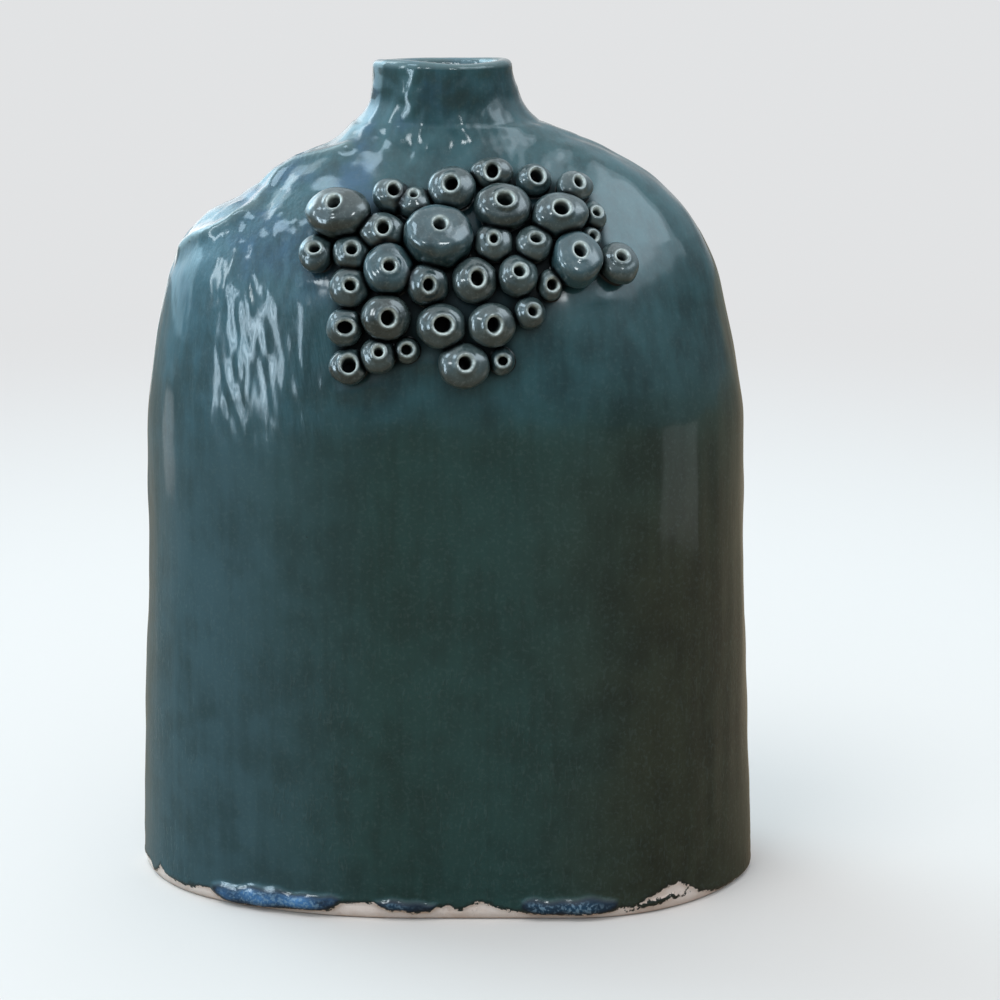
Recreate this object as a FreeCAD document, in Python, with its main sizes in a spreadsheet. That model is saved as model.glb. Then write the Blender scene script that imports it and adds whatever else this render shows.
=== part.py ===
import FreeCAD, Part
import Sketcher
import math
import os

# Pillow vase: a front and a back slab of clay luted edge to edge on a flat floor slab,
# a short collar for a neck, and a crust of pierced clay beads pressed on the front shoulder.
# The origin is the middle of the foot, on the table. The front faces -Y and +Z is up.

os.makedirs("parts", exist_ok=True)
doc = FreeCAD.newDocument("pillow_vase")

# Driving dimensions, in millimetres
sizes = {
    "vase_height": 250,  # table to the rim of the neck
    "body_width": 192.4,  # across the foot, seam to seam
    "body_depth": 92,  # front to back at the fullest level
    "wall_thickness": 5.5,  # rolled slab of both walls
    "floor_thickness": 6,  # floor slab, under both walls
    "foot_round": 2.2,  # wiped lower edge of the floor slab
    "collar_length": 19,  # luted joint to the rim
    "collar_foot_width": 57.4,  # where the collar meets the shoulders
    "collar_foot_depth": 36.8,
    "neck_width": 40.6,  # outside of the rim
    "neck_depth": 35,
    "lip_thickness": 4.6,  # collar wall at the rim
    "lip_round": 1.7,  # softened edges of the rim
    "bead_width": 12.5,  # a common bead, over its equator
    "bead_hole": 3.8,  # the skewer that pierces a common bead
}

sheet = doc.addObject("Spreadsheet::Sheet", "Sizes")
for row, (alias, number) in enumerate(sizes.items(), start=1):
    sheet.set(f"A{row}", alias)
    sheet.set(f"B{row}", str(number))
    sheet.setAlias(f"B{row}", alias)
doc.recompute()


def size(formula):
    """The number that a formula over the sheet gives."""
    return float(sheet.evalExpression(formula))


# Levels of both walls from the floor slab up, each with its shares of the wall's height,
# of the left and right reach, of the depth, and of the foot's squareness.
# A reach, depth or squareness of 1 is the body's, and 0 is the collar's.
level_shares = [
    (0.000, 1.000, 0.991, 0.975, 1.00),
    (0.204, 0.969, 0.951, 0.995, 1.00),
    (0.409, 0.933, 0.917, 1.000, 1.00),
    (0.613, 0.918, 0.901, 0.980, 1.00),
    (0.678, 0.889, 0.870, 0.926, 0.94),
    (0.742, 0.846, 0.813, 0.862, 0.84),
    (0.807, 0.795, 0.763, 0.750, 0.70),
    (0.871, 0.693, 0.661, 0.534, 0.54),
    (0.936, 0.372, 0.443, 0.226, 0.28),
    (1.000, 0.000, 0.000, 0.000, 0.00),
]
shoulder_level = 3  # the level at which the walls start to lean in

# Levels of the collar from its foot up to the rim's round: shares of that length, of the
# flare to the left and right, and of the flare in depth
collar_shares = [
    (0.00, 1.000, 1.000, 1.0),
    (0.16, 0.540, 0.500, 0.6),
    (0.37, 0.205, 0.250, 0.3),
    (0.63, 0.100, 0.070, 0.1),
    (1.00, 0.000, 0.000, 0.0),
]

# The rim's round on both faces of the collar: how high and how far in, of the round
rim_shares = [
    (0.000, 0.000),
    (0.500, 0.134),
    (0.866, 0.500),
    (1.000, 1.000),
]

# The collar's foot is set a little to the right of the middle
collar_left_share = 0.451
collar_right_share = 0.549

# Bow of a wall's plan, at the collar and what the foot adds: where the flat of the front
# starts and ends, the corners' radius and how far their centres lie behind the seam
flat_left_shares = (0.02, 0.085)
flat_right_shares = (0.02, 0.38)
corner_left_shares = (0.75, 0.32)
corner_right_shares = (0.75, -0.12)
lean_left_shares = (0.04, 0.22)
lean_right_shares = (0.04, -0.03)
least_run = 1.1  # from the flat to the seam, of the depth that the corners bow over
least_flat = 0.01  # of the reach
most_slant = 1.8  # the widest a leaning wall gets in plan, of its thickness


# A bead's profile, in shares of its width: its equator's height over the wall, how deep it is
# pressed in, its underside's radius, its lip's round and the hole's floor over the wall
equator_share = 0.36
pressed_share = 0.11
underside_share = 0.48
bead_lip_share = 0.05
hole_floor_share = 0.12
crown_share = 0.85  # the crown's round, of the way from the equator in to the lip

# The crust of beads, row by row from the left. Each bead has shares of the common bead's
# width for its place to the right of the middle and up the wall from the crust's level, and
# for its own width, a share of the common hole, and its lean up and to the right.
crust_level_share = 0.862  # of the walls' height
bead_shares = [
    (-2.32, 0.58, 1.33, 0.85, 0.29, -0.04),
    (-1.34, 1.14, 0.78, 0.86, 0.26, 0.32),
    (-0.58, 0.87, 0.68, 0.50, 0.29, 0.06),
    (0.26, 1.26, 1.07, 0.99, 0.08, -0.04),
    (-2.83, -0.33, 0.79, 0.70, 0.21, 0.14),
    (-2.06, -0.26, 0.80, 0.75, 0.16, 0.28),
    (-1.33, 0.26, 0.95, 0.90, 0.29, 0.14),
    (-0.05, -0.01, 1.35, 0.87, 0.29, 0.07),
    (-1.27, -0.62, 1.03, 0.77, 0.02, 0.24),
    (-2.15, -1.06, 0.88, 0.78, 0.09, 0.32),
    (-0.36, -0.87, 0.88, 0.85, -0.18, 0.24),
    (0.62, -0.87, 1.00, 1.00, 0.04, 0.24),
    (-1.31, -1.59, 1.04, 1.03, -0.09, 0.32),
    (-2.22, -1.90, 0.84, 0.98, 0.01, 0.32),
    (-0.05, -1.88, 1.02, 1.22, 0.13, 0.10),
    (1.06, -1.79, 1.04, 1.00, -0.01, 0.18),
    (-2.20, -2.84, 0.81, 1.04, 0.29, 0.26),
    (-1.45, -2.59, 0.75, 0.64, 0.29, 0.26),
    (-0.76, -2.38, 0.57, 0.74, 0.20, 0.19),
    (0.49, -2.86, 1.09, 0.96, 0.29, 0.09),
    (1.34, -2.66, 0.57, 0.60, 0.27, 0.08),
    (1.90, -1.54, 0.71, 0.67, 0.18, 0.32),
    (2.33, -0.94, 0.60, 0.78, -0.15, 0.31),
    (1.61, -0.82, 0.88, 0.80, 0.23, 0.22),
    (1.14, -0.09, 0.83, 0.59, 0.07, 0.02),
    (1.99, -0.08, 0.80, 0.69, 0.18, 0.15),
    (2.97, -0.53, 1.08, 0.98, 0.22, -0.02),
    (3.30, 0.18, 0.50, 0.50, -0.25, 0.16),
    (3.95, -0.62, 0.90, 0.75, 0.24, -0.18),
    (3.35, 0.68, 0.60, 0.50, -0.10, 0.32),
    (2.62, 0.50, 1.09, 1.03, 0.29, 0.03),
    (1.37, 0.73, 1.10, 1.05, 0.29, 0.15),
    (1.10, 1.80, 0.77, 0.89, -0.25, -0.05),
    (2.02, 1.47, 0.81, 0.86, 0.04, 0.14),
    (2.98, 1.31, 0.79, 0.68, 0.14, 0.13),
]


def blend(shares, squareness):
    low, added = shares
    return low + added * squareness


joint_height = "(Sizes.vase_height - Sizes.collar_length)"
wall_height = f"({joint_height} - Sizes.floor_thickness)"
half_body = "Sizes.body_width / 2"
half_collar_depth = "Sizes.collar_foot_depth / 2"
half_body_depth = "Sizes.body_depth / 2"


def between(inner, outer, share):
    """A formula for the length that lies a share of the way from inner to outer."""
    return f"({inner} + ({outer} - {inner}) * {share})"


class Level:
    """Formulas for one level of the walls."""

    def __init__(self, shares):
        height, left, right, depth, squareness = shares
        left_foot = f"Sizes.collar_foot_width * {collar_left_share}"
        right_foot = f"Sizes.collar_foot_width * {collar_right_share}"
        self.height = f"(Sizes.floor_thickness + {wall_height} * {height})"
        self.left = between(left_foot, half_body, left)
        self.right = between(right_foot, half_body, right)
        self.depth = between(half_collar_depth, half_body_depth, depth)
        self.squareness = squareness


levels = [Level(shares) for shares in level_shares]


def slanted_wall(index, reach):
    """A formula for the wall's width in plan, where the slab leans at a level."""
    below = levels[max(index - 1, 0)]
    above = levels[min(index + 1, len(levels) - 1)]
    run = f"({getattr(above, reach)} - {getattr(below, reach)})"
    rise = f"({above.height} - {below.height})"
    return f"Sizes.wall_thickness * min(sqrt(1 + pow({run} / {rise}; 2)); {most_slant})"


def plane_of(body, role):
    """The body's own origin plane with this role."""
    return next(item for item in body.Origin.OriginFeatures if item.Role == role)


def sketch_at(body, name, height):
    """An empty level sketch of a body, at a height given by a formula."""
    sketch = body.newObject("Sketcher::SketchObject", name)
    sketch.AttachmentSupport = [(plane_of(body, "XY_Plane"), "")]
    sketch.MapMode = "FlatFace"
    sketch.AttachmentOffset = FreeCAD.Placement(
        FreeCAD.Vector(0, 0, size(height)), FreeCAD.Rotation()
    )
    sketch.setExpression("AttachmentOffset.Base.z", height)
    return sketch


def bind(sketch, kind, places, formula):
    """A dimension of a sketch that follows a formula."""
    index = sketch.addConstraint(Sketcher.Constraint(kind, *places, size(formula)))
    sketch.setExpression(f"Constraints[{index}]", formula)


def arc_between(centre, start, end):
    """A circle's arc, counterclockwise from start to end."""
    circle = Part.Circle(centre, FreeCAD.Vector(0, 0, 1), (start - centre).Length)
    angles = [math.atan2(p.y - centre.y, p.x - centre.x) for p in (start, end)]
    if angles[1] < angles[0]:
        angles[1] += 2 * math.pi
    return Part.ArcOfCircle(circle, *angles)


start_point, end_point, centre_point = 1, 2, 3
origin = (-1, 1)
x_axis = -1
y_axis = -2


def draw_bow(sketch, side, left, right, depth, squareness, seams=None):
    """Draws one wall's line in plan, from the left seam to the right one, and gives its two ends.

    Side is -1 for the front and 1 for the back. A corner arc, a front arc, a short flat and
    the same arcs again run tangent to each other. Seams, where given, are the ends it joins.
    """
    flats, radii, leans = [], [], []
    for reach, flat_shares, corner_shares, lean_shares in (
        (left, flat_left_shares, corner_left_shares, lean_left_shares),
        (right, flat_right_shares, corner_right_shares, lean_right_shares),
    ):
        bowed = f"{depth} * (1 + {blend(lean_shares, squareness)})"
        flat = f"min({reach} * {blend(flat_shares, squareness)}; {reach} - {bowed} * {least_run})"
        flat = f"max({flat}; {reach} * {least_flat})"
        corner = blend(corner_shares, squareness)
        wide = f"({reach} - {flat}) > {bowed}"
        flats.append(flat)
        radii.append(f"({wide} ? {depth} * {corner} : {depth} * (2 - {corner}))")
        leans.append(f"{depth} * {blend(lean_shares, squareness)}")
    deep = size(depth)
    halves = []
    for way, reach, flat, radius, lean in zip((-1, 1), (left, right), flats, radii, leans):
        reach, flat, radius, lean = (size(each) for each in (reach, flat, radius, lean))
        seam = FreeCAD.Vector(way * reach, 0, 0)
        corner = FreeCAD.Vector(
            way * (reach - math.sqrt(radius**2 - lean**2)), -side * lean, 0
        )
        apex = FreeCAD.Vector(way * flat, side * deep, 0)
        across = abs(corner.x - apex.x)
        bow = (across**2 + (lean + deep) ** 2 - radius**2) / (2 * (lean + deep - radius))
        front = FreeCAD.Vector(apex.x, side * (deep - bow), 0)
        outward = corner - front if bow > radius else front - corner
        meeting = corner + outward.normalize() * radius
        halves.append((seam, corner, meeting, front, apex))
    seam_a, corner_a, meeting_a, front_a, apex_a = halves[0]
    seam_b, corner_b, meeting_b, front_b, apex_b = halves[1]
    runs = [
        (corner_a, seam_a, meeting_a),
        (front_a, meeting_a, apex_a),
        (None, apex_a, apex_b),
        (front_b, apex_b, meeting_b),
        (corner_b, meeting_b, seam_b),
    ]
    first, last = (start_point, end_point) if side < 0 else (end_point, start_point)
    edges = []
    for centre, begin, end in runs:
        if centre is None:
            edges.append(sketch.addGeometry(Part.LineSegment(begin, end)))
        elif side < 0:
            edges.append(sketch.addGeometry(arc_between(centre, begin, end)))
        else:
            edges.append(sketch.addGeometry(arc_between(centre, end, begin)))
    corner_left, front_left, flat, front_right, corner_right = edges
    joints = [
        (corner_left, last, front_left, first),
        (front_left, last, flat, start_point),
        (flat, end_point, front_right, first),
        (front_right, last, corner_right, first),
    ]
    for joint in joints:
        sketch.addConstraint(Sketcher.Constraint("Tangent", *joint))
    sketch.addConstraint(Sketcher.Constraint("Horizontal", flat))
    bind(sketch, "DistanceX", (flat, start_point, *origin), flats[0])
    bind(sketch, "DistanceX", (*origin, flat, end_point), flats[1])
    bind(sketch, "Radius", (corner_left,), radii[0])
    bind(sketch, "Radius", (corner_right,), radii[1])
    if side < 0:
        bind(sketch, "DistanceY", (flat, start_point, *origin), depth)
        bind(sketch, "DistanceY", (*origin, corner_left, centre_point), leans[0])
        bind(sketch, "DistanceY", (*origin, corner_right, centre_point), leans[1])
    else:
        bind(sketch, "DistanceY", (*origin, flat, start_point), depth)
        bind(sketch, "DistanceY", (corner_left, centre_point, *origin), leans[0])
        bind(sketch, "DistanceY", (corner_right, centre_point, *origin), leans[1])
    ends = [(corner_left, first), (corner_right, last)]
    if seams:
        for end, seam in zip(ends, seams):
            sketch.addConstraint(Sketcher.Constraint("Coincident", *end, *seam))
    else:
        for end in ends:
            sketch.addConstraint(Sketcher.Constraint("PointOnObject", *end, x_axis))
        bind(sketch, "DistanceX", (*ends[0], *origin), left)
        bind(sketch, "DistanceX", (*origin, *ends[1]), right)
    return ends


def draw_oval(sketch, left, right, depth, squareness):
    """Draws a closed plan outline, front and back alike."""
    seams = draw_bow(sketch, -1, left, right, depth, squareness)
    draw_bow(sketch, 1, left, right, depth, squareness, seams)


def loft(body, kind, name, sections):
    """A smooth additive or subtractive loft of a body through its level sketches."""
    feature = body.newObject(f"PartDesign::{kind}", name)
    feature.Profile = sections[0]
    feature.Sections = sections[1:]
    feature.Refine = False
    return feature


def new_body(name):
    body = doc.addObject("PartDesign::Body", name)
    body.Label = name
    return body


def make_wall_shell():
    """Both walls as one hollow shell: upright to the shoulder, then leaning in to the collar."""
    body = new_body("wall_shell")
    outsides, insides = [], []
    for index, level in enumerate(levels):
        outer = {reach: getattr(level, reach) for reach in ("left", "right", "depth")}
        inner = {reach: f"({outer[reach]} - {slanted_wall(index, reach)})" for reach in outer}
        for sketches, reaches, part in ((outsides, outer, "outside"), (insides, inner, "inside")):
            sketch = sketch_at(body, f"wall_{part}_{index}", level.height)
            draw_oval(sketch, *reaches.values(), level.squareness)
            sketches.append(sketch)
    upright, shoulder = slice(0, shoulder_level + 1), slice(shoulder_level, None)
    loft(body, "AdditiveLoft", "upright_outside", outsides[upright])
    loft(body, "AdditiveLoft", "shoulder_outside", outsides[shoulder])
    loft(body, "SubtractiveLoft", "upright_inside", insides[upright])
    loft(body, "SubtractiveLoft", "shoulder_inside", insides[shoulder])
    return body


def make_wall(name, shell, front):
    """One pressed slab: the shell's half on its side of the seams."""
    half = doc.addObject("Part::Box", f"{name}_side")
    half.setExpression("Length", "Sizes.body_width * 2")
    half.setExpression("Width", "Sizes.body_depth")
    half.setExpression("Height", "Sizes.vase_height")
    half.setExpression("Placement.Base.x", "-Sizes.body_width")
    half.setExpression("Placement.Base.y", "-Sizes.body_depth" if front else "0 * Sizes.body_depth")
    wall = doc.addObject("Part::Common", name)
    wall.Base = shell
    wall.Tool = half
    wall.Label = name
    return wall


def make_floor_slab():
    """The flat slab that both walls stand on, its lower edge wiped round with a sponge."""
    body = new_body("floor_slab")
    foot = levels[0]
    sketch = sketch_at(body, "floor_outline", "0 * Sizes.floor_thickness")
    draw_oval(sketch, foot.left, foot.right, foot.depth, foot.squareness)
    pad = body.newObject("PartDesign::Pad", "floor_pad")
    pad.Profile = sketch
    pad.setExpression("Length", "Sizes.floor_thickness")
    doc.recompute()
    lower = [
        f"Edge{number}"
        for number, edge in enumerate(pad.Shape.Edges, start=1)
        if abs(edge.BoundBox.ZMax) < size("Sizes.foot_round") / 2
    ]
    fillet = body.newObject("PartDesign::Fillet", "floor_foot_round")
    fillet.Base = (pad, lower)
    fillet.setExpression("Radius", "Sizes.foot_round")
    return body


def collar_level(shares):
    """Formulas for a collar level: its height, outer reaches and depth, and inner ones."""
    height, left, right, depth = shares
    top = levels[-1]
    index = len(levels) - 1
    outer = [
        between("Sizes.neck_width / 2", top.left, left),
        between("Sizes.neck_width / 2", top.right, right),
        between("Sizes.neck_depth / 2", top.depth, depth),
    ]
    walls = [
        between("Sizes.lip_thickness", slanted_wall(index, reach), share)
        for reach, share in (("left", left), ("right", right), ("depth", depth))
    ]
    inner = [f"({outside} - {wall})" for outside, wall in zip(outer, walls)]
    rise = f"(Sizes.collar_length - Sizes.lip_round) * {height}"
    return f"({joint_height} + {rise})", outer, inner


def rim_level(shares):
    """The same for a level of the rim, where both faces of the wall close in on its top."""
    height, inset = shares
    halves = ["Sizes.neck_width / 2", "Sizes.neck_width / 2", "Sizes.neck_depth / 2"]
    outer = [f"({half} - Sizes.lip_round * {inset})" for half in halves]
    wall = f"(Sizes.lip_thickness - Sizes.lip_round * {inset})"
    inner = [f"({half} - {wall})" for half in halves]
    return f"(Sizes.vase_height - Sizes.lip_round * (1 - {height}))", outer, inner


def make_neck_collar():
    """The luted collar: a flared ring that narrows to a soft rim."""
    body = new_body("neck_collar")
    stretches = {
        "collar": [collar_level(shares) for shares in collar_shares],
        "rim": [rim_level(shares) for shares in rim_shares],
    }
    for stretch, rings in stretches.items():
        outsides, insides = [], []
        for number, (height, outer, inner) in enumerate(rings):
            for sketches, reaches, part in (
                (outsides, outer, "outside"),
                (insides, inner, "inside"),
            ):
                sketch = sketch_at(body, f"{stretch}_{part}_{number}", height)
                draw_oval(sketch, *reaches, 0)
                sketches.append(sketch)
        loft(body, "AdditiveLoft", f"{stretch}_form", outsides)
        loft(body, "SubtractiveLoft", f"{stretch}_bore", insides)
    return body


def draw_bead_profile(sketch, width, hole):
    """Half of a bead's section, from the axis out and round over the lip into the hole."""
    equator = f"{width} * {equator_share}"
    pressed = f"{width} * {pressed_share}"
    underside = f"{width} * {underside_share}"
    lip = f"{width} * {bead_lip_share}"
    bore = f"{hole} / 2"
    hole_floor = f"{width} * {hole_floor_share}"
    crown = f"(({width} / 2 - {bore} - {lip}) * {crown_share})"
    half = size(width) / 2
    level, deep, under, soft, inner, bottom, round_over = (
        size(each) for each in (equator, pressed, underside, lip, bore, hole_floor, crown)
    )
    top = level + round_over
    under_centre = FreeCAD.Vector(half - under, level, 0)
    outermost = FreeCAD.Vector(half, level, 0)
    seat_reach = under_centre.x + math.sqrt(under**2 - (level + deep) ** 2)
    seat = FreeCAD.Vector(seat_reach, -deep, 0)
    crown_centre = FreeCAD.Vector(half - round_over, level, 0)
    crown_end = FreeCAD.Vector(crown_centre.x, top, 0)
    lip_centre = FreeCAD.Vector(inner + soft, top - soft, 0)
    lip_start = FreeCAD.Vector(lip_centre.x, top, 0)
    hole_top = FreeCAD.Vector(inner, lip_centre.y, 0)
    hole_foot = FreeCAD.Vector(inner, bottom, 0)
    axis_top = FreeCAD.Vector(0, bottom, 0)
    axis_foot = FreeCAD.Vector(0, -deep, 0)
    belly, shoulder, ring, edge, hole_wall, floor, axis, back = (
        sketch.addGeometry(shape)
        for shape in (
            arc_between(under_centre, seat, outermost),
            arc_between(crown_centre, outermost, crown_end),
            Part.LineSegment(crown_end, lip_start),
            arc_between(lip_centre, lip_start, hole_top),
            Part.LineSegment(hole_top, hole_foot),
            Part.LineSegment(hole_foot, axis_top),
            Part.LineSegment(axis_top, axis_foot),
            Part.LineSegment(axis_foot, seat),
        )
    )
    run = (belly, shoulder, ring, edge, hole_wall, floor, axis, back, belly)
    for one, other in zip(run, run[1:]):
        kind = "Tangent" if other in (shoulder, ring, edge, hole_wall) else "Coincident"
        sketch.addConstraint(Sketcher.Constraint(kind, one, end_point, other, start_point))
    for line in (ring, floor, back):
        sketch.addConstraint(Sketcher.Constraint("Horizontal", line))
    sketch.addConstraint(Sketcher.Constraint("Vertical", hole_wall))
    for end in (start_point, end_point):
        sketch.addConstraint(Sketcher.Constraint("PointOnObject", axis, end, y_axis))
    level_with = (belly, centre_point, belly, end_point)
    sketch.addConstraint(Sketcher.Constraint("Horizontal", *level_with))
    bind(sketch, "DistanceY", (axis, end_point, *origin), pressed)
    bind(sketch, "DistanceY", (*origin, belly, centre_point), equator)
    bind(sketch, "DistanceX", (*origin, belly, end_point), f"{width} / 2")
    bind(sketch, "Radius", (belly,), underside)
    bind(sketch, "Radius", (shoulder,), crown)
    bind(sketch, "Radius", (edge,), lip)
    bind(sketch, "DistanceX", (*origin, hole_wall, start_point), bore)
    bind(sketch, "DistanceY", (*origin, floor, end_point), hole_floor)


def make_ball(name, width, hole):
    """A pierced ball of clay, turned about its own upright axis."""
    body = new_body(f"{name}_ball")
    sketch = body.newObject("Sketcher::SketchObject", f"{name}_profile")
    sketch.AttachmentSupport = [(plane_of(body, "XZ_Plane"), "")]
    sketch.MapMode = "FlatFace"
    draw_bead_profile(sketch, width, hole)
    turned = body.newObject("PartDesign::Revolution", f"{name}_turned")
    turned.Profile = sketch
    turned.ReferenceAxis = (sketch, ["V_Axis"])
    turned.Angle = 360
    return body


def wall_line():
    """Points of the front's upright middle line: how far along the wall, and how high."""
    profile = [(size(level.depth), size(level.height)) for level in levels]
    along = [0]
    for (depth, height), (next_depth, next_height) in zip(profile, profile[1:]):
        along.append(along[-1] + math.hypot(next_depth - depth, next_height - height))
    return list(zip(along, (height for _, height in profile)))


def look_up(pairs, value):
    """The second number that goes with a first one, straight between the pairs."""
    for (low, low_result), (high, high_result) in zip(pairs, pairs[1:]):
        if value <= high:
            break
    return low_result + (high_result - low_result) * (value - low) / (high - low)


def seat_on(wall, across, height):
    """The point of the front wall at a place, and the wall's outward direction there."""
    outside = FreeCAD.Vector(across, -size("Sizes.body_depth"), height)
    middle = FreeCAD.Vector(across, 0, height)
    hits = wall.Shape.common(Part.makeLine(outside, middle))
    seat = min((vertex.Point for vertex in hits.Vertexes), key=lambda point: point.y)
    _, _, touching = wall.Shape.distToShape(Part.Vertex(seat))
    _, face, place, *_ = touching[0]
    outward = wall.Shape.Faces[face].normalAt(*place)
    return seat, outward


def make_bead(name, wall, shares):
    """A ball pressed on the wall at its place, cut to the wall that it sits on."""
    across, up, width_share, hole_share, lean_up, lean_right = shares
    width = f"(Sizes.bead_width * {width_share})"
    hole = f"(Sizes.bead_hole * {hole_share})"
    ball = make_ball(name, width, hole)
    line = wall_line()
    crust_level = size(between("Sizes.floor_thickness", joint_height, crust_level_share))
    start = look_up([(height, along) for along, height in line], crust_level)
    height = look_up(line, start + size("Sizes.bead_width") * up)
    seat, outward = seat_on(wall, size("Sizes.bead_width") * across, height)
    right = FreeCAD.Vector(0, 0, 1).cross(outward).normalize()
    rising = outward.cross(right)
    axis = outward + rising * lean_up + right * lean_right
    ball.Placement = FreeCAD.Placement(
        seat, FreeCAD.Rotation(FreeCAD.Vector(0, 0, 1), axis)
    )
    bead = doc.addObject("Part::Cut", name)
    bead.Base = ball
    bead.Tool = wall
    bead.Label = name
    return bead


wall_shell = make_wall_shell()
walls = {
    "front_slab": make_wall("front_slab", wall_shell, True),
    "back_slab": make_wall("back_slab", wall_shell, False),
}
floor_slab = make_floor_slab()
neck_collar = make_neck_collar()
doc.recompute()

pieces = {**walls, "floor_slab": floor_slab, "neck_collar": neck_collar}
for number, shares in enumerate(bead_shares, start=1):
    name = f"bead_{number:02d}"
    pieces[name] = make_bead(name, walls["front_slab"], shares)
doc.recompute()

faults = [item.Name for item in doc.Objects if {"Invalid", "Error"} & set(item.State)]
faults += [
    name for name, piece in pieces.items() if piece.Shape.isNull() or not piece.Shape.isValid()
]
if faults:
    raise RuntimeError(f"These objects failed: {', '.join(faults)}")
for name, piece in pieces.items():
    piece.Shape.exportStep(f"parts/{name}.step")
    print(name, round(piece.Shape.Volume), "cubic millimetres")
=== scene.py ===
import math

import bpy
import numpy as np
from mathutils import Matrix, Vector
from mathutils.bvhtree import BVHTree


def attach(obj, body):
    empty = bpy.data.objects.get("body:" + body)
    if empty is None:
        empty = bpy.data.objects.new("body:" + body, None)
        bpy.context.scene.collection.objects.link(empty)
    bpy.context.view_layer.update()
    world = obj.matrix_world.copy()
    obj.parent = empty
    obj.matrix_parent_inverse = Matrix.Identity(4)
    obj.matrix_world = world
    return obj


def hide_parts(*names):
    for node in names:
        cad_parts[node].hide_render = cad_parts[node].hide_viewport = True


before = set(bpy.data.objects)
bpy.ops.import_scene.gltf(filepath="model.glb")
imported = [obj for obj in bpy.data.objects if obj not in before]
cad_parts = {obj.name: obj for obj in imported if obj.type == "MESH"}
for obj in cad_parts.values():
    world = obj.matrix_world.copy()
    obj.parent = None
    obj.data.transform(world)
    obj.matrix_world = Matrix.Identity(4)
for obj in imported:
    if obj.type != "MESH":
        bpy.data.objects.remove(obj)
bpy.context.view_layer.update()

# Lengths in the tables below are millimetres, colours are sRGB from 0 to 1.
mm = 0.001


# an sRGB colour as linear light, with an alpha of 1
def linear(colour):
    return tuple(c / 12.92 if c <= 0.04045 else ((c + 0.055) / 1.055) ** 2.4 for c in colour) + (1,)


def smoothstep(low, high, value):
    share = np.clip((value - low) / (high - low), 0, 1)
    return share * share * (3 - 2 * share)


def bump(value, middle, width):
    return np.exp(-(((value - middle) / width) ** 2))


def unit(vector):
    return vector / np.linalg.norm(vector)


# smooth noise of unit spread over points, from seeded plane waves about one size long
def ripple(points, size, seed, waves=22):
    rng = np.random.default_rng(seed)
    ways = rng.normal(size=(waves, 3))
    ways /= np.linalg.norm(ways, axis=1)[:, None]
    ways *= (2 * math.pi / (size * rng.uniform(0.7, 1.6, waves)))[:, None]
    phases = rng.uniform(0, 2 * math.pi, waves)
    total = np.zeros(points.shape[:-1])
    for way, phase in zip(ways, phases):
        total += np.sin(points @ way + phase)
    return total / math.sqrt(waves / 2)


# waves round the vase, each with its height, its count and its shift
def waveRound(angles, waves, start=0):
    total = start
    for height, count, shift in waves:
        total = total + height * np.sin(angles * count + shift)
    return total


def linkNew(name, data):
    made = bpy.data.objects.new(name, data)
    bpy.context.collection.objects.link(made)
    return made


# a mesh object from points in millimetres
def makeObject(name, points, faces, smooth=True):
    mesh = bpy.data.meshes.new(name)
    mesh.from_pydata((np.asarray(points) * mm).tolist(), [], faces)
    mesh.validate()
    mesh.polygons.foreach_set("use_smooth", [smooth] * len(mesh.polygons))
    mesh.update()
    return linkNew(name, mesh)


# quads between rings of points that follow each other
def ringFaces(rings, columns, closed=False, flipped=False):
    faces = []
    for ring in range(rings if closed else rings - 1):
        low, high = ring * columns, (ring + 1) % rings * columns
        for column in range(columns):
            after = (column + 1) % columns
            quad = (low + column, low + after, high + after, high + column)
            faces.append(quad[:1] + quad[:0:-1] if flipped else quad)
    return faces


# a number for each vertex, for the materials to read
def paint(made, name, values):
    attribute = made.data.attributes.new(name, "FLOAT", "POINT")
    attribute.data.foreach_set("value", np.asarray(values, dtype=np.float32).ravel())


# a search tree over meshes whose objects sit at the origin
def treeOf(objects):
    points, faces = [], []
    for each in objects:
        start = len(points)
        points += [vertex.co.copy() for vertex in each.data.vertices]
        faces += [[start + i for i in polygon.vertices] for polygon in each.data.polygons]
    return BVHTree.FromPolygons(points, faces)


# the first point hit, in millimetres, or None
def castFrom(tree, start, way):
    hit = tree.ray_cast(Vector(start) * mm, Vector(way))[0]
    return None if hit is None else np.array(hit) / mm


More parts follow.
